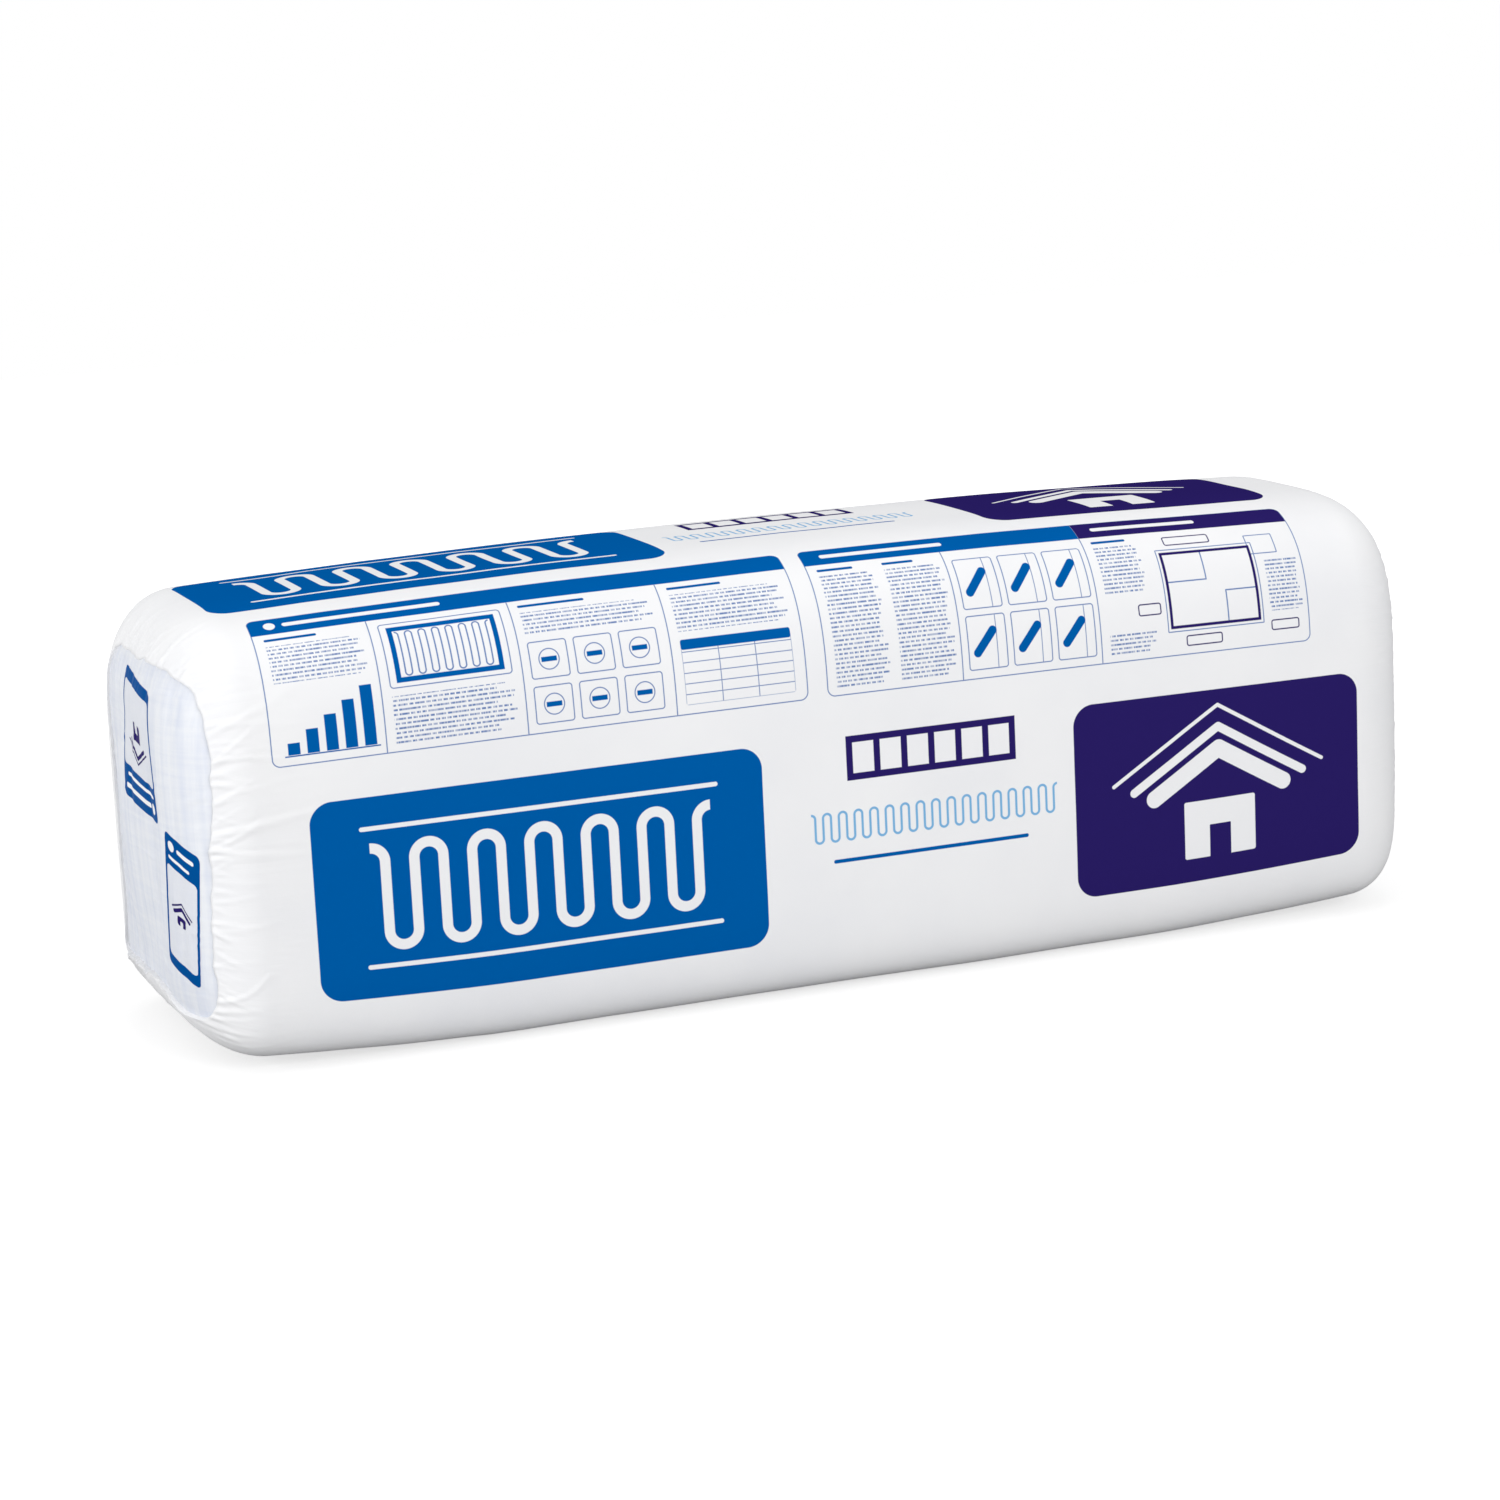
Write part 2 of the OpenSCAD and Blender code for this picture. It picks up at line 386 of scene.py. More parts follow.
def sleeve_relief(outer, turn, girth):
    """Outward relief: wrinkles, creases and swells, a ruffled lip along the foot of each rim, and a hem
    along the back of the left one."""
    from_left = along_film(outer)
    from_right = from_left[-1] - from_left
    edge = np.minimum(from_left, from_right)
    folds = wrinkles(girth, from_left, LEFT_SEED, *SLEEVE_FOLDS)
    folds += wrinkles(girth, from_right, RIGHT_SEED, *SLEEVE_FOLDS)
    creases = creased(outer, (42, 13, 11), 3)
    creases += 0.7 * creased(outer, (15, 9, 9), 4)
    patches = np.clip(0.5 + 1.5 * noise(outer, 50, 8), 0, 1)
    creases *= 0.75 * MM * patches * np.exp(-edge / (55 * MM))
    swell = 0.7 * MM * noise(outer, 130, 1) + 0.3 * MM * noise(outer, 45, 2)
    loud = np.where(outer[..., 0] > 0, RIGHT_SHARE, 1.0)

    far = np.where(outer[..., 0] < 0, np.clip(np.cos(turn), 0, 1), 0)  # the back of the left end
    front = 1 - far
    foot = np.clip(-1.4 * np.sin(turn), 0, 1) ** 2 * front
    frill = (noise(outer, 14, 5) * (0.5 + 2.8 * foot) + 0.7 + 2.2 * foot) * front * MM
    frill *= loud * np.exp(-edge / (5 * MM + 6 * MM * foot))
    back = np.clip(3 * far, 0, 1)
    calm = 1 - 0.9 * back * np.exp(-((edge / (60 * MM)) ** 4))
    hem = HEM * back * np.exp(-((edge / (24 * MM)) ** 2))
    return np.maximum(((folds + creases) * loud + swell) * calm + hem + frill, -0.5 * MM)


def sleeve_maps(u, v, is_inner):
    """The UV maps, and the number of the printed area that each face is in. u is how far along the print
    and v the girth at each corner of each face."""
    half_l = np.abs(u).max()
    bake_u = 0.005 + 0.99 * (u + half_l) / (2 * half_l)
    flat_v = bake_girth(v)
    bake_v = np.where(is_inner[..., None], 0.955 + 0.035 * flat_v, 0.005 + 0.94 * flat_v)

    # The back repeats the front's print, turned round
    behind = (v.mean(axis=-1) > 2 * GIRTH_TOP - FRONT_TOP + PRINT_DROP)[..., None]
    print_u = np.where(behind, -u, u) - PRINT_SHIFT
    print_v = np.where(behind, 2 * GIRTH_TOP - v, v) + PRINT_DROP
    mid_u, mid_v = print_u.mean(axis=-1), print_v.mean(axis=-1)
    area = np.zeros(mid_u.shape, int)
    for number, (_, left, right, low, high, *_) in enumerate(AREAS, 1):
        within = (mid_u > left) & (mid_u < right) & (mid_v > low) & (mid_v < high)
        area[within & ~is_inner] = number
    maps = {"OFBake": (bake_u, bake_v), "Print": (print_u, print_v), "Film": (u, v)}
    return {name: np.stack(pair, axis=-1) for name, pair in maps.items()}, area


def make_sleeve():
    """The printed film: its outer skin in fine rows, and an inner skin in a few, joined at the rims."""
    turns, girths = girth_turns(AROUND)
    turn, girth = turns[:-1], girths[:-1]
    rims = [rim_angle(turn, girth, end) for end in (LEFT, RIGHT)]
    outer, outer_along = whole_sleeve(turn, rims, 0.0, *sleeve_rows())
    outer = outer + grid_normals(outer) * sleeve_relief(outer, turn, girth)[..., None]
    outer[..., 2] = np.maximum(outer[..., 2], 0.0)
    few_rows = np.array([0, ROUND_X / 2]), np.linspace(0, 1, 8)
    inner, inner_along = whole_sleeve(turn, rims, SLEEVE_SKIN, *few_rows)
    rows = np.concatenate([outer, inner[::-1]])
    along = np.concatenate([outer_along, inner_along[::-1]])

    n_rows, last = len(rows), len(outer) - 1
    r, i = np.meshgrid(np.arange(n_rows), np.arange(AROUND), indexing="ij")
    s, j = (r + 1) % n_rows, (i + 1) % AROUND
    faces = ring_quads(r, i, s, j, AROUND)
    high = np.where(j == 0, girths[-1], girth[j])
    u = np.stack([along[r, i], along[r, j], along[s, j], along[s, i]], axis=-1)
    v = np.stack([girth[i], high, high, girth[i]], axis=-1)
    maps, area = sleeve_maps(u, v, r >= last)
    is_edge = (r == last) | (r == n_rows - 1)
    return mesh_object("wrap_sleeve", rows.reshape(-1, 3), faces, maps, area, ~is_edge.ravel())


# ---- the end films

WINDOW_AROUND = 420
WINDOW_ROUND_ROWS = 28
WINDOW_FACE_ROWS = 42
WINDOW_TUCK = math.radians(14)  # how far the film goes on under the sleeve, round the end rounding
WINDOW_PLEATS = 130, 30  # wrinkles in from the rim, and how many of them are long
WINDOW_FOLDS = 60
WINDOW_FOLD = ((12, 45), (1.5, 2.8), (0.15, 0.5))  # reach, width and height, from and to, in millimetres
RIGHT_PRINT_SHIFT = 80 * MM  # keeps the right end's labels inside its window


def batt_bounds():
    """The y of each boundary between the batts, from the CAD nodes."""
    boxes = [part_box(f"batt_{number}") for number in BATTS]
    return [(before[1].y + after[0].y) / 2 for before, after in zip(boxes, boxes[1:])]


def window_relief(points, from_rim, seed):
    """Outward relief of an end film: grooves between the batts, folds and fine crinkle."""
    y, z = points[..., 1], points[..., 2]
    wander = noise(np.stack([y * 0, z * 0 + seed, z], -1), (1000, 1000, 90), seed) * 4 * MM
    relief = np.zeros_like(y)
    for edge in batt_bounds():
        depth = 0.8 + 0.5 * noise(np.stack([y * 0 + edge * 50, y * 0, z], -1), (1000, 1000, 120), seed + 1)
        relief -= depth * MM * np.exp(-(((y - edge - wander) / (5.5 * MM)) ** 2))
    relief += 0.7 * MM * noise(points, (60, 45, 120), seed + 2)
    relief += 0.12 * MM * noise(points, (20, 9, 90), seed + 3)
    draw = np.random.default_rng(seed)
    for _ in range(WINDOW_FOLDS):
        dy, dz = y - draw.uniform(-0.15, 0.15), z - draw.uniform(0.06, 0.34)
        tilt = draw.normal(0, 0.35) + (math.pi / 2 if draw.random() < 0.5 else 0)
        reach, width, tall = (draw.uniform(*span) * MM for span in WINDOW_FOLD)
        along = dy * math.cos(tilt) + dz * math.sin(tilt)
        off = -dy * math.sin(tilt) + dz * math.cos(tilt) + 3.0 * along**2 * draw.normal(0, 1)
        relief += tall * np.exp(-((along / reach) ** 2)) * fold_shape(off, width, 0.5, 1.6)
    return relief * np.clip(from_rim / (10 * MM), 0, 1)


def window_rows(turn, rim):
    """Points of an end film, in rows in from its tucked edge: those on the end rounding, and the face's."""
    shares = np.linspace(0, 1, WINDOW_ROUND_ROWS)[:, None]
    angle = (rim - WINDOW_TUCK) + shares * (math.pi / 2 - rim + WINDOW_TUCK)
    rounding = skin(turn, rounding_x(angle, WINDOW_INSET), angle, WINDOW_INSET)
    edge = rounding[-1]
    share = np.linspace(1, 0.012, WINDOW_FACE_ROWS)[1:, None]
    y, z = edge[:, 1] * share, (edge[:, 2] - MID_Z) * share
    return rounding, np.stack([edge[:, 0] + face_bulge(y, z), y, MID_Z + z], axis=-1)


def laid_flat(rounding, face, from_start, side):
    """The film laid out flat: the face as it stands, and the rounding unrolled outward from its edge."""
    edge = rounding[-1, :, 1:]
    out = rounding[-6, :, 1:] - edge
    out /= np.maximum(np.linalg.norm(out, axis=-1, keepdims=True), 1e-9)
    unrolled = (from_start[WINDOW_ROUND_ROWS - 1] - from_start[:WINDOW_ROUND_ROWS])[..., None]
    flat = np.concatenate([edge + out * unrolled, face[..., 1:]])
    return flat * np.array([side, 1]) + np.array([RIGHT_PRINT_SHIFT * (side > 0), 0])


def disc_faces(n_rows, around):
    """Quads of a grid of rows round a middle, with a fan from the last row to one more point there."""
    r, i = np.meshgrid(np.arange(n_rows - 1), np.arange(around), indexing="ij")
    last, place = (n_rows - 1) * around, np.arange(0, around, 2)
    hub = np.full(len(place), n_rows * around)
    fan = [last + place, last + place + 1, last + (place + 2) % around, hub]
    return np.concatenate([ring_quads(r, i, r + 1, (i + 1) % around, around), np.stack(fan, axis=-1)])


def with_middle(rows):
    """The points of a grid in one list, and after them the mean of its last row."""
    return np.concatenate([rows.reshape(-1, rows.shape[-1]), [rows[-1].mean(axis=0)]])


def make_window(name, side, seed):
    """The film across the LEFT or RIGHT end."""
    turns, girths = girth_turns(WINDOW_AROUND)
    turn, girth = turns[:-1], girths[:-1]
    rounding, face = window_rows(turn, rim_angle(turn, girth, side))
    rows = np.concatenate([rounding, face])
    from_start = along_film(rows)
    from_rim = from_start - WINDOW_TUCK * (END_ROUND_L + END_ROUND_SIDE) / 2
    pleats = wrinkles(girth, np.abs(from_rim), seed + 50, *WINDOW_PLEATS)
    pleats = pleats * np.clip(from_rim / (6 * MM), 0, 1)
    relief = window_relief(rows, from_rim, seed) + 0.35 * pleats
    middle = np.clip(1 - (from_start[-1] - from_start) / (15 * MM), 0, 1)[..., None]
    normal = grid_normals(rows) * (1 - middle) + np.array([1.0, 0, 0]) * middle
    points = with_middle(rows + normal * relief[..., None])
    flat = with_middle(laid_flat(rounding, face, from_start, side))
    faces = disc_faces(len(rows), WINDOW_AROUND)
    if side < 0:
        points = points * np.array([-1.0, 1, 1])
        faces = faces[:, ::-1]
    pairs = flat[faces].reshape(-1, 2)
    low, high = flat.min(axis=0), flat.max(axis=0)
    bake_map = 0.01 + 0.98 * (pairs - low) / (high - low).max()
    made = mesh_object(name, points, faces, {"OFBake": bake_map, "Print": pairs})
    solid = made.modifiers.new("film", "SOLIDIFY")
    solid.thickness = WINDOW_SKIN
    solid.offset = -1
    return made


# ---- the batts

LEAF_STEPS = 34
FOLD_STEPS = 14
HEIGHT_STEPS = 40
THICK_STEPS = 6
WOOL_INSET = BATT_INSET + 0.6 * MM
CREASE = 1.2 * MM


def room_half_z(x, y, upper):
    """Half the height of the room for the wool at x and y."""
    power = section_power(upper)
    half_y, half_z = half_sizes(np.clip(x, -ROUND_X, ROUND_X), 0.0, WOOL_INSET, upper)
    half_z = np.where(upper, half_z, np.minimum(half_z, MID_Z - WOOL_INSET))
    inside = np.clip(1 - np.abs(y / half_y) ** power, 1e-6, 1)
    return half_z * inside ** (1 / power)


def room_reach(y, z):
    """How far along the bale the room for the wool reaches at a place (y, z) of its section."""
    upper = z >= MID_Z
    power = section_power(upper)
    round_y = np.where(y > 0, END_ROUND_BACK, END_ROUND_SIDE)

    def measure(angle):
        half_y, half_z = half_sizes(rounding_x(angle, WOOL_INSET), angle, WOOL_INSET, upper, round_y)
        return (np.abs(y / half_y) ** power + np.abs((z - MID_Z) / half_z) ** power) ** (1 / power)

    low, high = np.zeros_like(y), np.full_like(y, math.pi / 2)
    for _ in range(24):
        middle = (low + high) / 2
        inside = measure(middle) < 1
        low, high = np.where(inside, middle, low), np.where(inside, high, middle)
    return rounding_x(low, WOOL_INSET) + face_bulge(y, z - MID_Z)


def block_faces(shape):
    """Quads on the six sides of a grid of points, as indices into it."""
    index = np.arange(np.prod(shape)).reshape(shape)
    sides = []
    for axis in range(3):
        for end in (0, -1):
            plane = np.take(index, end, axis=axis)
            quad = np.stack([plane[:-1, :-1], plane[1:, :-1], plane[1:, 1:], plane[:-1, 1:]], axis=-1)
            sides.append(quad.reshape(-1, 4) if (axis + end) % 2 else quad.reshape(-1, 4)[:, ::-1])
    return np.concatenate(sides)


def batt_grid(low, high):
    """Points of a batt folded once in half: from one cut end round the fold to the other, then through its
    thickness, then up. It stands on its long edge with its fold towards +X."""
    centre, outer = (low.y + high.y) / 2, (high.y - low.y) / 2 - 0.25 * MM
    radius = CREASE / 2 + np.linspace(0, 1, THICK_STEPS) * (outer - CREASE / 2)
    share = (1 - np.cos(np.pi * np.linspace(0, 1, LEAF_STEPS))) / 2
    fold = np.linspace(-math.pi / 2, math.pi / 2, FOLD_STEPS + 1)[1:-1]
    height = np.sin(np.pi / 2 * np.linspace(-1, 1, HEIGHT_STEPS))
    turn = np.concatenate([np.full(LEAF_STEPS, -math.pi / 2), fold, np.full(LEAF_STEPS, math.pi / 2)])
    along = np.concatenate([share, np.ones(len(fold)), share[::-1]])
    turn, radius, height = np.meshgrid(turn, radius, height, indexing="ij")
    along = np.broadcast_to(along[:, None, None], turn.shape)

    most = HALF_W - WOOL_INSET - 1e-4
    y = np.clip(centre + radius * np.sin(turn), -most, most)
    z = MID_Z + height * room_half_z((2 * along - 1) * ROUND_X, y, height >= 0)
    far, near = room_reach(y, z), room_reach(np.full_like(y, centre), z) - outer
    x = -far + along * (near + far) + radius * np.cos(turn) * (along == 1)
    return np.stack([np.minimum(x, far), y, z], axis=-1)


def make_batt(number, low, high):
    """One batt, its skin set in by tufts, and by layers at its cut ends."""
    grid = batt_grid(low, high)
    used, faces = np.unique(block_faces(grid.shape[:3]), return_inverse=True)
    points, faces = grid.reshape(-1, 3)[used], faces.reshape(-1, 4)
    made = mesh_object(f"wool_batt_{number}", points, faces)
    normals = np.array([v.normal for v in made.data.vertices])
    if (normals * (points - points.mean(axis=0))).sum() < 0:
        made.data.flip_normals()
        normals = -normals
    at_end = np.clip((-points[:, 0] - ROUND_X + 30 * MM) / (40 * MM), 0, 1)
    layers = noise(points, (40, 2.2, 70), number) * at_end
    tufts = noise(points, 7, 40 + number)
    depth = 0.25 * MM * (1 + tufts) + 0.8 * MM * (1 + layers) * at_end
    made.data.vertices.foreach_set("co", (points - normals * depth[:, None]).astype(np.float32).ravel())
    made.data.update()
    return made


# ---- nodes


class Nodes:
    """Short names for shader nodes, and flat shapes drawn with them.

    A shape is a socket that is 1 inside and 0 outside, drawn at the nodes' own point in metres."""

    SOFT = 0.3 * MM  # half the width over which an edge fades

    def __init__(self, material):
        material.use_nodes = True
        self.tree = material.node_tree
        self.tree.nodes.clear()

    def at(self, point):
        """The same nodes, drawing at another point."""
        made = copy.copy(self)
        made.point = point
        return made

    @property
    def x(self):
        return self.separate(self.point)[0]

    @property
    def y(self):
        return self.separate(self.point)[1]

    def put(self, socket, value):
        if isinstance(value, bpy.types.NodeSocket):
            self.tree.links.new(value, socket)
        elif value is not None:
            socket.default_value = (*value, 1) if socket.type == "RGBA" else value

    def node(self, kind, *values, named=None, **settings):
        """A shader node, its inputs filled in order or by name."""
        made = self.tree.nodes.new("ShaderNode" + kind)
        for name, value in settings.items():
            setattr(made, name, value)
        for socket, value in zip(made.inputs, values):
            self.put(socket, value)
        for name, value in (named or {}).items():
            self.put(made.inputs[name], value)
        return made

    def math(self, operation, *values, **settings):
        return self.node("Math", *values, operation=operation, **settings).outputs[0]

    plus = partialmethod(math, "ADD")
    minus = partialmethod(math, "SUBTRACT")
    times = partialmethod(math, "MULTIPLY")
    divided = partialmethod(math, "DIVIDE")
    size = partialmethod(math, "ABSOLUTE")
    floor = partialmethod(math, "FLOOR")
    most = partialmethod(math, "MAXIMUM")
    above = partialmethod(math, "GREATER_THAN")
    under = partialmethod(math, "LESS_THAN")

    def wrap(self, a, half):
        """a brought into the stretch from -half to half, over and over."""
        return self.math("WRAP", a, half, -half)

    def vector(self, operation, a, b=None, scale=None):
        made = self.node("VectorMath", a, b, None, scale, operation=operation)
        return made.outputs[1 if operation in ("LENGTH", "DOT_PRODUCT") else 0]

    def ramp(self, value, low, high, to_low=0.0, to_high=1.0):
        return self.node("MapRange", value, low, high, to_low, to_high).outputs[0]

    def combine(self, x, y):
        return self.node("CombineXYZ", x, y, 0.0).outputs[0]

    def separate(self, vector):
        return self.node("SeparateXYZ", vector).outputs

    def noise(self, vector, scale, detail=2.0, rough=0.5):
        named = {"Vector": vector, "Scale": scale, "Detail": detail, "Roughness": rough}
        return self.node("TexNoise", named=named).outputs[0]

    def gap(self, a, b):
        """The distance between two points."""
        return self.vector("LENGTH", self.vector("SUBTRACT", a, b))

    def uv_map(self, name):
        return self.node("UVMap", uv_map=name).outputs[0]

    def streaks(self, place, scales, detail, rough):
        return self.noise(self.vector("MULTIPLY", place, scales), 1.0, detail, rough)

    def random(self, a, b):
        """A number from 0 to 1 that two numbers settle."""
        made = self.node("TexWhiteNoise", named={"Vector": self.combine(a, b)}, noise_dimensions="2D")
        return made.outputs["Value"]

    def inside(self, distance, limit):
        return self.ramp(distance, limit - self.SOFT, limit + self.SOFT, 1.0, 0.0)

    def either(self, *shapes):
        return reduce(self.most, shapes)

    def both(self, *shapes):
        return reduce(self.times, shapes)

    def but_not(self, shape, hole):
        return self.times(shape, self.minus(1.0, hole))

    def corner_distance(self, left, right, low, high, corner):
        centre = ((left + right) / 2, (low + high) / 2, 0)
        half = ((right - left) / 2 - corner, (high - low) / 2 - corner, 0)
        away = self.vector("ABSOLUTE", self.vector("SUBTRACT", self.point, centre))
        past = self.vector("MAXIMUM", self.vector("SUBTRACT", away, half), (0, 0, 0))
        return self.vector("LENGTH", past)

    def block(self, left, right, low, high, corner=0.5 * MM):
        corner = max(corner, 1.1 * self.SOFT)
        return self.inside(self.corner_distance(left, right, low, high, corner), corner)

    def frame(self, left, right, low, high, corner, line):
        if corner > line:
            return self.outline(self.corner_distance(left, right, low, high, corner), corner, line)
        h = line / 2
        hole = self.block(left + h, right - h, low + h, high - h, 0)
        return self.but_not(self.block(left - h, right + h, low - h, high + h, corner), hole)

    def outline(self, distance, radius, line):
        return self.inside(self.size(self.minus(distance, radius)), line / 2)

    def away(self, x, y):
        return self.gap(self.point, (x, y, 0))

    def disc(self, x, y, radius):
        return self.inside(self.away(x, y), radius)

    def ring(self, x, y, radius, line):
        return self.outline(self.away(x, y), radius, line)

    def stroke(self, start, end, line):
        """A straight line with round ends."""
        run = Vector((end[0] - start[0], end[1] - start[1], 0))
        away = self.vector("SUBTRACT", self.point, (*start, 0))
        along = self.vector("DOT_PRODUCT", away, tuple(run))
        share = self.times(along, 1 / run.length_squared, use_clamp=True)
        return self.inside(self.gap(away, self.vector("SCALE", tuple(run), scale=share)), line / 2)

    def path(self, corners, line):
        return self.either(*[self.stroke(a, b, line) for a, b in zip(corners, corners[1:])])

    def over(self, below, shape, colour):
        """colour laid over what is below, where shape is."""
        unused = [None] * 5  # the mix of numbers and vectors
        return self.node("Mix", shape, *unused, below, colour, data_type="RGBA").outputs[2]

    def principled(self, colour, roughness, gloss):
        named = {"Base Color": colour, "Roughness": roughness, "Specular IOR Level": gloss}
        return self.node("BsdfPrincipled", named=named)

    def bump(self, shader, height, strength, distance):
        named = {"Strength": strength, "Distance": distance, "Height": height}
        self.put(shader.inputs["Normal"], self.node("Bump", named=named).outputs[0])

    def surface(self, shader, kind="OutputMaterial"):
        self.node(kind, named={"Surface": shader.outputs[0]})

    def seen(self):
        """1 for a ray that sees, straight, in a reflection or through film, and 0 for one that lights."""
        rays = self.node("LightPath").outputs
        return self.either(*[rays[f"Is {kind} Ray"] for kind in ("Glossy", "Transmission", "Camera")])


# ---- the print

# Every drawing is laid over the film's colour, base. X runs along the bale and Y up its front, from the
# front's mid height.

PANEL = -0.137, 0.042  # low and high
TOP = 0.247, 0.412
PANEL_CORNER = 0.020
FIELD_LOW, FIELD_HIGH = 0.078, 0.222
HEADER_LOW = 0.200
THIN = 1.0 * MM


def hatch(n, left, right, low, high, count, line):
    """The drafting symbol for a batt: one line that loops from side to side an even count of times."""
    pitch = (right - left) / count
    level = n.minus(n.y, (low + high) / 2)
    down = n.times(n.under(level, 0.0), pitch)
    across = n.size(n.wrap(n.plus(n.minus(n.x, left), down), pitch))
    straight = (high - low - pitch - line) / 2
    past = n.most(n.minus(n.size(level), straight), 0.0)
    lines = n.outline(n.vector("LENGTH", n.combine(across, past)), pitch / 2, line)
    return n.both(lines, n.block(left, right, low - line, high + line))


def studs(n, left, right, low, high, count, line):
    """A framed wall: two plates with studs between them."""
    h = line / 2
    pitch = (right - left - line) / (count - 1)
    offset = n.size(n.wrap(n.minus(n.x, left + h), pitch / 2))
    uprights = n.both(n.inside(offset, h), n.block(left, right, low, high))
    return n.either(uprights, n.frame(left + h, right - h, low + h, high - h, 0, line))


def house(n, centre, low, width, lines, pitch):
    """A small house under nested roofs, the inmost roof the heaviest."""
    folded = n.at(n.combine(n.size(n.minus(n.x, centre)), n.y))
    slope = 0.60
    roofs = []
    for k, line in enumerate(lines):
        half = width / 2 * (0.62 + 0.19 * k)
        peak = low + width * 0.47 + pitch * k
        roofs.append(folded.stroke((0, peak), (half, peak - half * slope), line))
    wall = width * 0.17
    body = folded.block(-wall, wall, low, low + width * 0.25, 2 * MM)
    door = folded.block(-wall * 0.3, wall * 0.3, low - 0.01, low + width * 0.14, 1 * MM)
    return n.either(n.but_not(body, door), *roofs)


# Small print: the pitch and height of its rows, and the length of its words and letters
PITCH, LINE, WORD, LETTER = 4.0 * MM, 1.7 * MM, 5.0 * MM, 1.1 * MM


def small_print(n, *blocks):
    """Fine rows of marks that spell nothing, in each block."""
    row = n.floor(n.divided(n.y, PITCH))
    middle = n.times(n.plus(row, 0.5), PITCH)
    rows = n.inside(n.size(n.minus(n.y, middle)), LINE / 2)
    place = n.plus(n.divided(n.x, WORD), n.times(n.random(row, 3.7), 9.0))
    word = n.floor(place)
    words = n.either(n.above(n.random(word, row), 0.65), n.under(n.minus(place, word), 0.74))
    ink = n.ramp(n.random(n.floor(n.divided(n.x, LETTER)), row), 0.2, 0.8, 0.55, 1.0)
    ragged = n.times(n.random(row, 8.1), 0.16)

    def shown(left, right, low, high):
        short = n.minus(1.0, n.plus(n.ramp(n.x, left, right), ragged))
        return n.both(n.block(left, right, low, high), n.above(short, 0.0))

    return n.both(rows, words, ink, n.either(*[shown(*sides) for sides in blocks]))


def draw_blue_panel(n, base, left, right, low, high):
    colour = n.over(base, n.block(left, right, low, high, PANEL_CORNER), BLUE)
    middle, half = (low + high) / 2, (high - low) * 0.27
    batt = hatch(n, left + 0.050, right - 0.050, middle - half, middle + half, 12, 0.0090)
    rules = [
        n.block(left + 0.042, right - 0.042, level - 0.002, level + 0.002, 2 * MM)
        for level in (middle + half + 0.013, middle - half - 0.013)
    ]
    return n.over(colour, n.either(batt, *rules), WHITE)


def draw_violet_panel(n, base, left, right, low, high):
    colour = n.over(base, n.block(left, right, low, high, PANEL_CORNER), VIOLET)
    scale = (high - low) / (PANEL[1] - PANEL[0])
    lines = [size * scale * MM for size in (16, 8, 3.5)]
    middle, foot = (left + right) / 2, low + 0.022 * scale
    return n.over(colour, house(n, middle, foot, 0.215 * scale, lines, 0.0205 * scale), WHITE)


def draw_wall_sign(n, base, left, high):
    """A framed wall over a batt's hatch and a rule."""
    right = left + 0.240
    batt = hatch(n, left, right, high - 0.094, high - 0.066, 32, 0.0022)
    wall = studs(n, left + 0.036, right - 0.040, high - 0.040, high, 7, 0.0062)
    rule = n.block(left + 0.020, right - 0.030, high - 0.1130, high - 0.1095, 1.7 * MM)
    return n.over(n.over(n.over(base, batt, PALE_BLUE), wall, VIOLET), rule, BLUE)


def field_frame(n, left, right, *dividers):
    lines = [n.frame(left, right, FIELD_LOW, FIELD_HIGH, 7 * MM, THIN)]
    lines += [n.block(x - THIN / 2, x + THIN / 2, FIELD_LOW, HEADER_LOW, 0) for x in dividers]
    return lines


def header(n, left, right, field_left, field_right):
    band = n.block(left, right, HEADER_LOW, FIELD_HIGH + 0.02, 0)
    return n.both(band, n.block(field_left, field_right, FIELD_LOW, FIELD_HIGH, 7 * MM))


def headings(n, *places):
    half = 1.4 * MM
    return n.either(*[n.block(x, x + width, y - half, y + half, 1.3 * MM) for x, width, y in places])


def header_marks(n, *places):
    return [n.block(left, right, 0.2085, 0.2135, 2.4 * MM) for left, right in places]


def print_field(n, base, written, fine, solid):
    """Blocks in full blue, and small print and thin lines a little paler."""
    colour = n.over(base, n.times(written, 0.85), BLUE)
    colour = n.over(colour, n.times(n.either(*fine), 0.85), BLUE)
    return n.over(colour, n.either(*solid), BLUE)


def bar_chart(n, left, low, count, pitch, width, rise):
    """Bars that grow to the right, on a base line."""
    at = n.divided(n.minus(n.x, left), pitch)
    step = n.floor(at)
    across = n.times(n.minus(n.minus(at, step), 0.5), pitch)
    top = n.plus(n.times(step, rise), low + rise)
    bars = n.both(n.inside(n.size(across), width / 2), n.inside(n.minus(n.y, top), 0.0))
    bars = n.both(bars, n.block(left, left + count * pitch, low, low + 0.2))
    return n.either(bars, n.block(left, left + count * pitch, low - 1.6 * MM, low - 0.4 * MM, 0))


def tiles(n, left, low, columns, rows, width, height, gap):
    """A grid of small framed tiles: its lines, nodes that draw round the middle of each, and its place."""
    w, h = width / 2, height / 2
    pitch_x, pitch_y = width + gap, height + gap
    across, up = n.wrap(n.minus(n.x, left + w), pitch_x / 2), n.wrap(n.minus(n.y, low + h), pitch_y / 2)
    tile = n.at(n.combine(across, up))
    right, high = left + columns * pitch_x - gap, low + rows * pitch_y - gap
    region = n.block(left - THIN, right + THIN, low - THIN, high + THIN, 0)
    return n.both(tile.frame(-w, w, -h, h, 2.5 * MM, THIN), region), tile, region


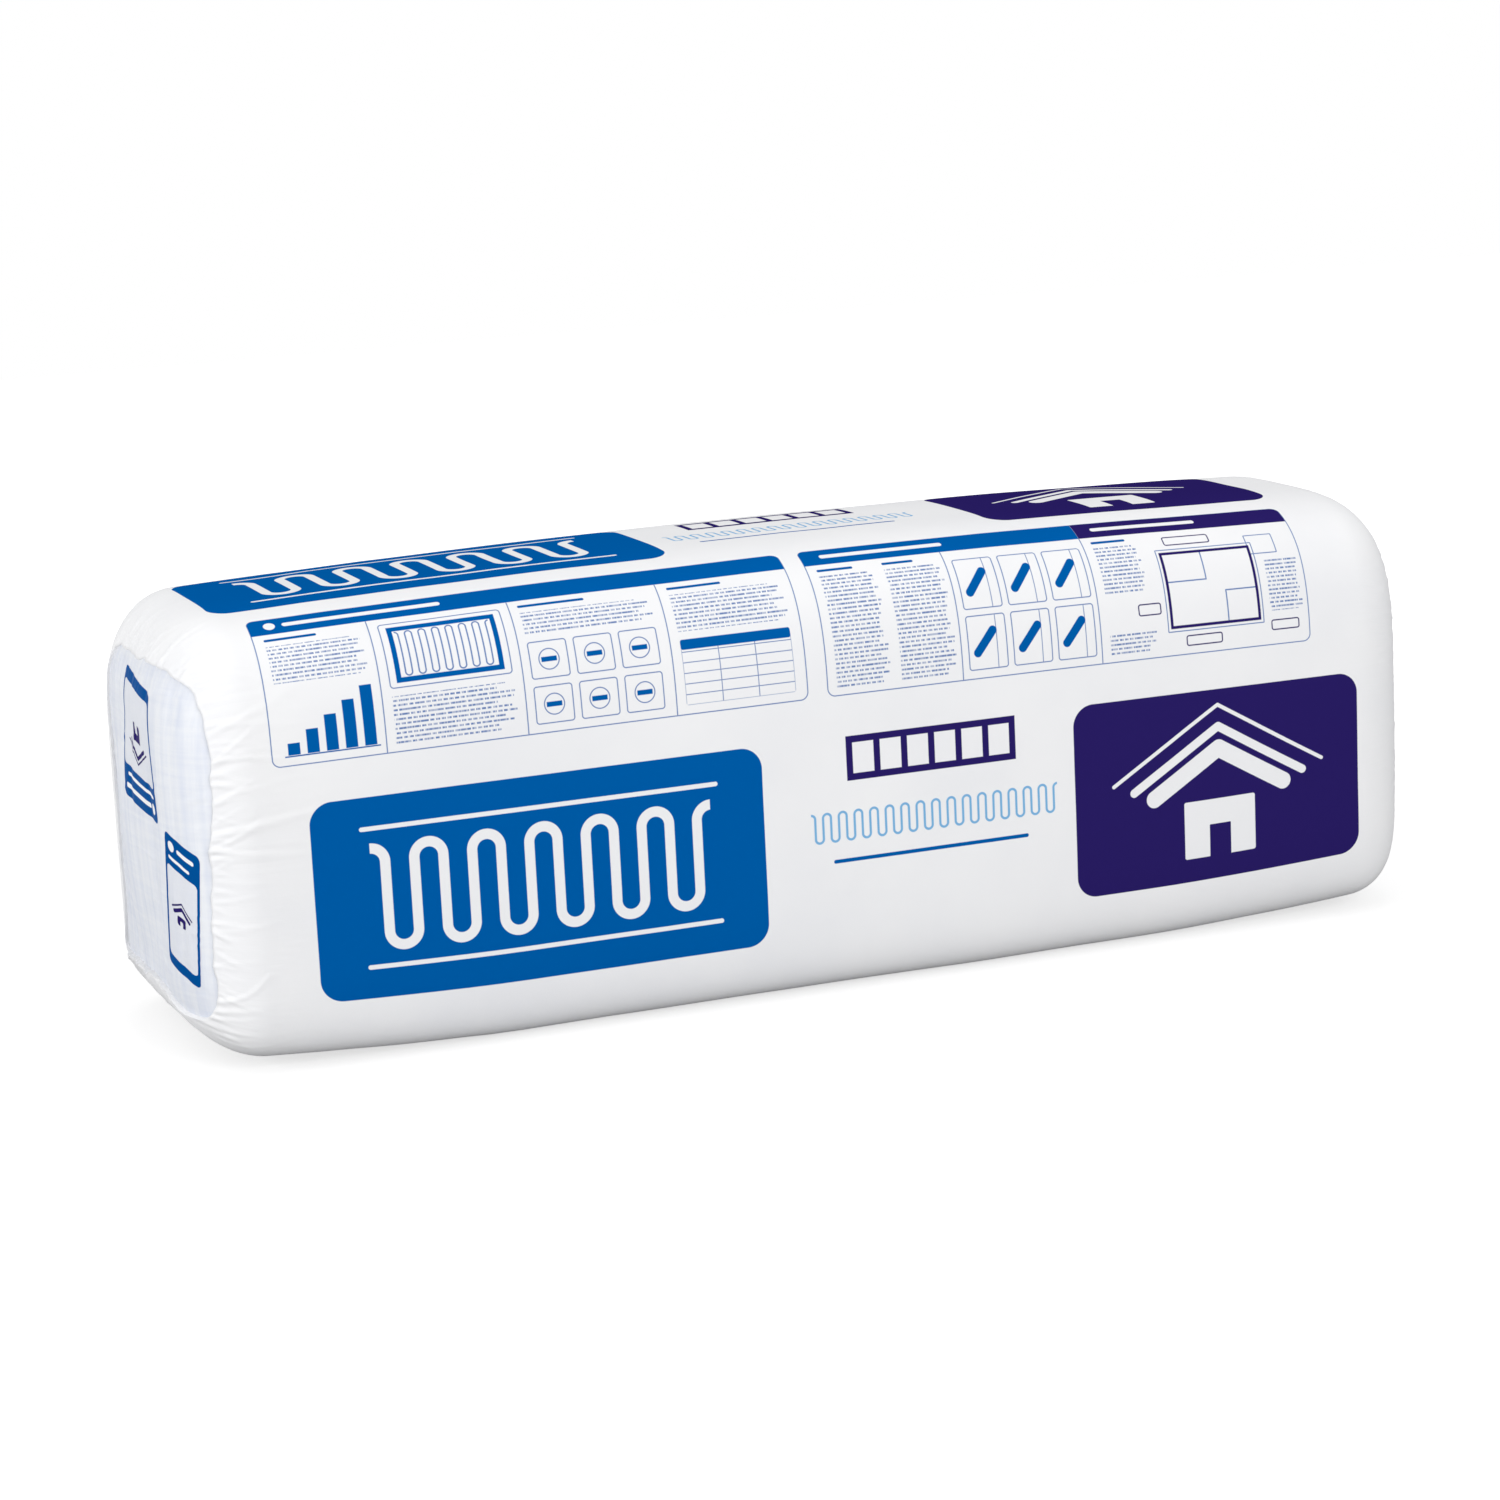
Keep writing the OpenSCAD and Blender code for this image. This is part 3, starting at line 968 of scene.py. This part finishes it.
def draw_left_field(n, base):
    left, right = -0.517, -0.037
    written = small_print(
        n,
        (-0.508, -0.426, 0.150, 0.186),
        (-0.410, -0.302, 0.084, 0.126),
        (-0.286, -0.168, 0.164, 0.186),
        (-0.150, -0.046, 0.150, 0.186),
    )
    tile_lines, tile, region = tiles(n, -0.286, 0.086, 3, 2, 0.034, 0.032, 0.007)
    line = n.size(n.wrap(n.minus(n.y, 0.086), 4.6 * MM))
    column = n.size(n.wrap(n.minus(n.x, -0.150), 17 * MM))
    grid = n.either(n.inside(line, 0.4 * MM), n.inside(column, 0.4 * MM))
    fine = [
        *field_frame(n, left, right, -0.4185, -0.2940, -0.1590),
        tile_lines,
        n.both(tile.ring(0, 0, 9 * MM, THIN), region),
        n.frame(-0.410, -0.303, 0.133, 0.193, 3 * MM, THIN),
        hatch(n, -0.398, -0.315, 0.142, 0.184, 14, 0.0013),
        n.both(grid, n.block(-0.150, -0.048, 0.086, 0.142, 2 * MM)),  # a small table, and its head
    ]
    solid = [
        n.block(-0.150, -0.048, 0.134, 0.143, 2 * MM),
        n.both(tile.block(-7 * MM, 7 * MM, -2.2 * MM, 2.2 * MM), region),
        studs(n, -0.404, -0.309, 0.137, 0.189, 2, 0.0045),
        bar_chart(n, -0.506, 0.087, 5, 0.0165, 0.0105, 0.0105),
        headings(n, (-0.508, 0.045, 0.193), (-0.286, 0.060, 0.193), (-0.150, 0.050, 0.193)),
        header(n, left, right, left, right),
    ]
    marks = [n.disc(-0.499, 0.211, 5 * MM), *header_marks(n, (-0.488, -0.350))]
    return n.over(print_field(n, base, written, fine, solid), n.either(*marks), WHITE)


def draw_right_field(n, base):
    left, split, right = -0.018, 0.250, 0.463
    written = small_print(
        n,
        (-0.009, 0.043, 0.084, 0.187),
        (0.053, 0.107, 0.084, 0.187),
        (0.259, 0.302, 0.140, 0.187),
        (0.259, 0.306, 0.084, 0.104),
        (0.424, 0.458, 0.110, 0.160),
    )
    tile_lines, tile, region = tiles(n, 0.119, 0.086, 3, 2, 0.0375, 0.0480, 0.0065)

    # With a house's plan: its outer walls, lined, and its rooms
    walls = n.frame(0.322, 0.412, 0.104, 0.174, 0.5 * MM, 2.8 * MM)
    fine = [
        *field_frame(n, left, right, 0.112, split),
        tile_lines,
        n.both(tile.block(9 * MM, 9.8 * MM, -0.024, 0.024, 0), region),
        n.frame(0.318, 0.416, 0.100, 0.178, 1 * MM, THIN),
        n.path([(0.322, 0.146), (0.362, 0.146), (0.362, 0.174)], 1.3 * MM),
        n.path([(0.380, 0.104), (0.380, 0.134), (0.412, 0.134)], 1.3 * MM),
        n.frame(0.412, 0.440, 0.166, 0.186, 1 * MM, THIN),
    ]
    places = (
        (0.290, 0.312, 0.118, 0.128),
        (0.336, 0.372, 0.086, 0.095),
        (0.330, 0.376, 0.183, 0.192),
        (0.424, 0.452, 0.092, 0.101),
    )
    tags = [n.frame(*sides, 2 * MM, 1.2 * MM) for sides in places]
    solid = [
        n.both(tile.stroke((-0.010, -0.009), (0.006, 0.010), 8 * MM), region),
        headings(n, (-0.009, 0.034, 0.193), (0.053, 0.030, 0.193), (0.259, 0.034, 0.193)),
        header(n, left, split, left, right),
    ]
    violet = n.either(walls, *tags, header(n, split, right, left, right))
    colour = n.over(print_field(n, base, written, fine, solid), violet, VIOLET)
    return n.over(colour, n.either(*header_marks(n, (0.000, 0.118), (0.266, 0.372))), WHITE)


# The printed areas: name, left, right, low, high, drawing, and its sides. The back repeats the front's.
AREAS = (
    ("panel_blue", -0.532, -0.062, -0.152, 0.060, draw_blue_panel, (-0.490, -0.084, *PANEL)),
    ("panel_sign", -0.062, 0.208, -0.152, 0.060, draw_wall_sign, (-0.040, 0.041)),
    ("panel_violet", 0.208, 0.532, -0.152, 0.060, draw_violet_panel, (0.218, 0.511, *PANEL)),
    ("field_left", -0.532, -0.028, 0.060, 0.235, draw_left_field, ()),
    ("field_right", -0.028, 0.482, 0.060, 0.235, draw_right_field, ()),
    ("top_blue", -0.566, -0.115, 0.235, 0.432, draw_blue_panel, (-0.541, -0.126, *TOP)),
    ("top_sign", -0.115, 0.160, 0.235, 0.432, draw_wall_sign, (-0.104, 0.398)),
    ("top_violet", 0.160, 0.520, 0.235, 0.432, draw_violet_panel, (0.184, 0.472, *TOP)),
)


# ---- materials


def new_material(name):
    """A material, its nodes, and the place on its piece as a socket."""
    material = bpy.data.materials.new(name)
    n = Nodes(material)
    return material, n, n.node("TexCoord").outputs["Object"]


def film_material(name, draw=None, sides=()):
    material, n, place = new_material(name)
    colour = n.over(FILM, n.ramp(n.noise(place, 9.0, 3.0), 0.3, 0.7), FILM_CLOUD)
    if draw:
        colour = draw(n.at(n.uv_map("Print")), colour, *sides)
    roughness = n.ramp(n.noise(place, 55.0, 3.0), 0.3, 0.7, 0.40, 0.52)
    shader = n.principled(colour, roughness, FILM_GLOSS)

    # Fine crinkle all over, and fine lines drawn in towards the rims
    film = n.at(n.uv_map("Film"))
    crinkle = n.noise(place, 260.0, 4.0, 0.62)
    swept = n.noise(n.combine(n.times(film.x, 22.0), n.times(film.y, 240.0)), 1.0, 3.0, 0.6)
    near_rim = n.ramp(n.size(film.x), ROUND_X - 0.06, ROUND_X + 0.03)
    n.bump(shader, n.plus(n.times(crinkle, 0.25), n.times(swept, near_rim)), 0.35, 0.6 * MM)
    n.surface(shader)
    return material


# The labels on an end film, which stand askew: middle across and up, width, height, and how far they fall
# and lean to the right. The upper one is upside down.
LOWER_LABEL = (0.1245, 0.146, 0.047, 0.121, 0.44, 0.10)
UPPER_LABEL = (0.0444, 0.2767, 0.085, 0.1086, 0.15, -0.13)


def draw_label(n, base, label):
    """A blue frame round a clear field, with a house in it: the colour, and where the print is dense."""
    x, y, width, height, fall, lean = label
    w, h = width / 2, height / 2
    turn = -1.0 if label is UPPER_LABEL else 1.0
    across, up, _ = n.separate(n.vector("SCALE", n.vector("SUBTRACT", n.point, (x, y, 0)), scale=turn))
    n = n.at(n.combine(n.minus(across, n.times(up, lean)), n.plus(up, n.times(across, fall))))
    sheet = n.block(-w, w, -h, h, 5 * MM)
    field = n.block(-w + 3.2 * MM, w - 3.2 * MM, -h + 10 * MM, h - 28 * MM, 4 * MM)
    colour = n.over(base, n.but_not(sheet, field), LABEL_BLUE)
    colour = n.over(colour, n.times(field, 0.6), LABEL_FIELD)
    marks = [
        n.disc(-w + 10 * MM, h - 10 * MM, 4.5 * MM),
        n.block(-w + 18 * MM, w - 7 * MM, h - 12 * MM, h - 8 * MM, 2 * MM),
        n.block(-w + 6 * MM, w - 12 * MM, h - 22 * MM, h - 19 * MM, 1.5 * MM),
    ]
    colour = n.over(colour, n.either(*marks), WHITE)
    motif = house(n, 0.0, -0.016, width * 0.72, (3.4 * MM, 1.6 * MM), 5 * MM)
    return n.over(colour, motif, VIOLET), n.either(n.but_not(sheet, field), motif)


def window_material():
    material, n, place = new_material("end_film")
    upright = n.streaks(place, (60.0, 120.0, 5.0), 4.0, 0.6)
    level = n.streaks(place, (12.0, 9.0, 170.0), 3.0, 0.6)
    weave = n.plus(n.times(upright, 0.65), n.times(level, 0.35))
    base = n.over(WINDOW_THICK, n.ramp(weave, 0.34, 0.60), WINDOW)
    base = n.over(base, n.ramp(n.noise(place, 16.0, 2.0), 0.5, 0.75, 0.0, 0.55), WINDOW_PALE)
    printed = n.at(n.uv_map("Print"))
    colour, lower = draw_label(printed, base, LOWER_LABEL)
    colour, upper = draw_label(printed, colour, UPPER_LABEL)
    shader = n.principled(colour, n.ramp(weave, 0.3, 0.7, 0.30, 0.42), WINDOW_GLOSS)
    n.put(shader.inputs["Alpha"], n.ramp(n.either(lower, upper), 0.0, 1.0, 0.75, 1.0))
    n.bump(shader, n.plus(weave, n.times(n.noise(place, 240.0, 4.0, 0.6), 0.3)), 0.4, 0.6 * MM)
    n.surface(shader)
    return material


def wool_material():
    material, n, place = new_material("glass_wool")
    fibres = n.streaks(place, (90.0, 420.0, 60.0), 5.0, 0.7)
    clumps = n.noise(place, 45.0, 4.0, 0.6)
    mixed = n.plus(n.times(fibres, 0.6), n.times(clumps, 0.4))
    colour = n.over(WOOL_DEEP, n.ramp(mixed, 0.35, 0.62), WOOL)
    shader = n.principled(colour, 0.95, WOOL_GLOSS)
    shader.inputs["Sheen Weight"].default_value = 0.35
    n.bump(shader, mixed, 0.8, 1.2 * MM)
    n.surface(shader)
    return material


# ---- pieces

end_film, glass_wool = window_material(), wool_material()

sleeve = make_sleeve()
sleeve.data.materials.append(film_material("printed_film"))
for name, *_, draw, sides in AREAS:
    sleeve.data.materials.append(film_material(f"printed_film_{name}", draw, sides))
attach(sleeve, "root")
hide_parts("film_sleeve")

# The end films: name, CAD node, end, seed, and flat size.
WINDOWS = (
    ("wrap_end_left", "end_film_left", LEFT, 31, (0.270, 0.315)),
    ("wrap_end_right", "end_film_right", RIGHT, 47, (0.245, 0.315)),
)

for name, node, side, seed, cut in WINDOWS:
    window = make_window(name, side, seed)
    window.data.materials.append(end_film)
    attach(window, "root")
    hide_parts(node)

for number in BATTS:
    batt = make_batt(number, *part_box(f"batt_{number}"))
    batt.data.materials.append(glass_wool)
    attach(batt, "root")
    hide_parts(f"batt_{number}")


# ---- stage, camera and lights

CAMERA_YAW, CAMERA_PITCH, CAMERA_ROLL = 0.3641, 0.2046, 0.0492
CAMERA_PLACE = (-0.0181, 0.1884, 3.5427)  # aside, up and back from the bale's origin, along its own axes
CAMERA_LENS = 91.177
WORLD_LIGHT = 0.56
FLOOR_HALF = 6.0
FLOOR_COLOUR = (0.47, 0.47, 0.47)
FLOOR_GLOW = 0.66  # added to the floor round the bale where it is seen, and 1 further out
# The lamps: name, place, size and power. All point at the bale's middle.
LAMPS = (
    ("key", (0.3, -3.4, 1.5), (1.8, 1.4), 60),
    ("top", (0.3, 0.6, 2.8), (2.2, 1.6), 16),
    ("end", (-2.9, -0.5, 0.8), (1.2, 1.2), 30),
)


def make_camera():
    data = bpy.data.cameras.new("camera")
    data.lens = CAMERA_LENS
    data.sensor_width = 36
    camera = add_object("camera", data)
    turned = Matrix.Rotation(-CAMERA_YAW, 4, "Z") @ Matrix.Rotation(math.pi / 2 - CAMERA_PITCH, 4, "X")
    rolled = Matrix.Rotation(-CAMERA_ROLL, 4, "Z")
    camera.matrix_world = turned @ Matrix.Translation(CAMERA_PLACE) @ rolled
    bpy.context.scene.camera = camera


def make_floor():
    corners = FLOOR_HALF * np.array([[-1, -1, 0], [1, -1, 0], [1, 1, 0], [-1, 1, 0]])
    floor = mesh_object("floor", corners, np.array([[0, 1, 2, 3]]))
    material, n, place = new_material("floor")
    far = n.ramp(n.vector("LENGTH", place), 0.9, 2.4, FLOOR_GLOW, 1.0)
    lit = n.node("BsdfDiffuse", named={"Color": FLOOR_COLOUR})
    glow = n.node("Emission", named={"Strength": n.times(n.seen(), far)})
    n.surface(n.node("AddShader", lit.outputs[0], glow.outputs[0]))
    floor.data.materials.append(material)


def make_world():
    world = bpy.data.worlds.new("world")
    bpy.context.scene.world = world
    n = Nodes(world)
    strength = n.ramp(n.seen(), 0.0, 1.0, WORLD_LIGHT, 1.0)
    n.surface(n.node("Background", named={"Color": (1, 1, 1), "Strength": strength}), "OutputWorld")


def make_lamp(name, place, size, power):
    data = bpy.data.lights.new(name, "AREA")
    data.shape = "RECTANGLE"
    data.size, data.size_y = size
    data.energy = power
    lamp = add_object(name, data)
    lamp.location = place
    lamp.rotation_mode = "QUATERNION"
    lamp.rotation_quaternion = (Vector((0, 0, MID_Z)) - Vector(place)).to_track_quat("-Z", "Y")


make_camera()
make_floor()
make_world()
for lamp in LAMPS:
    make_lamp(*lamp)

bpy.context.scene.view_settings.view_transform = "Standard"
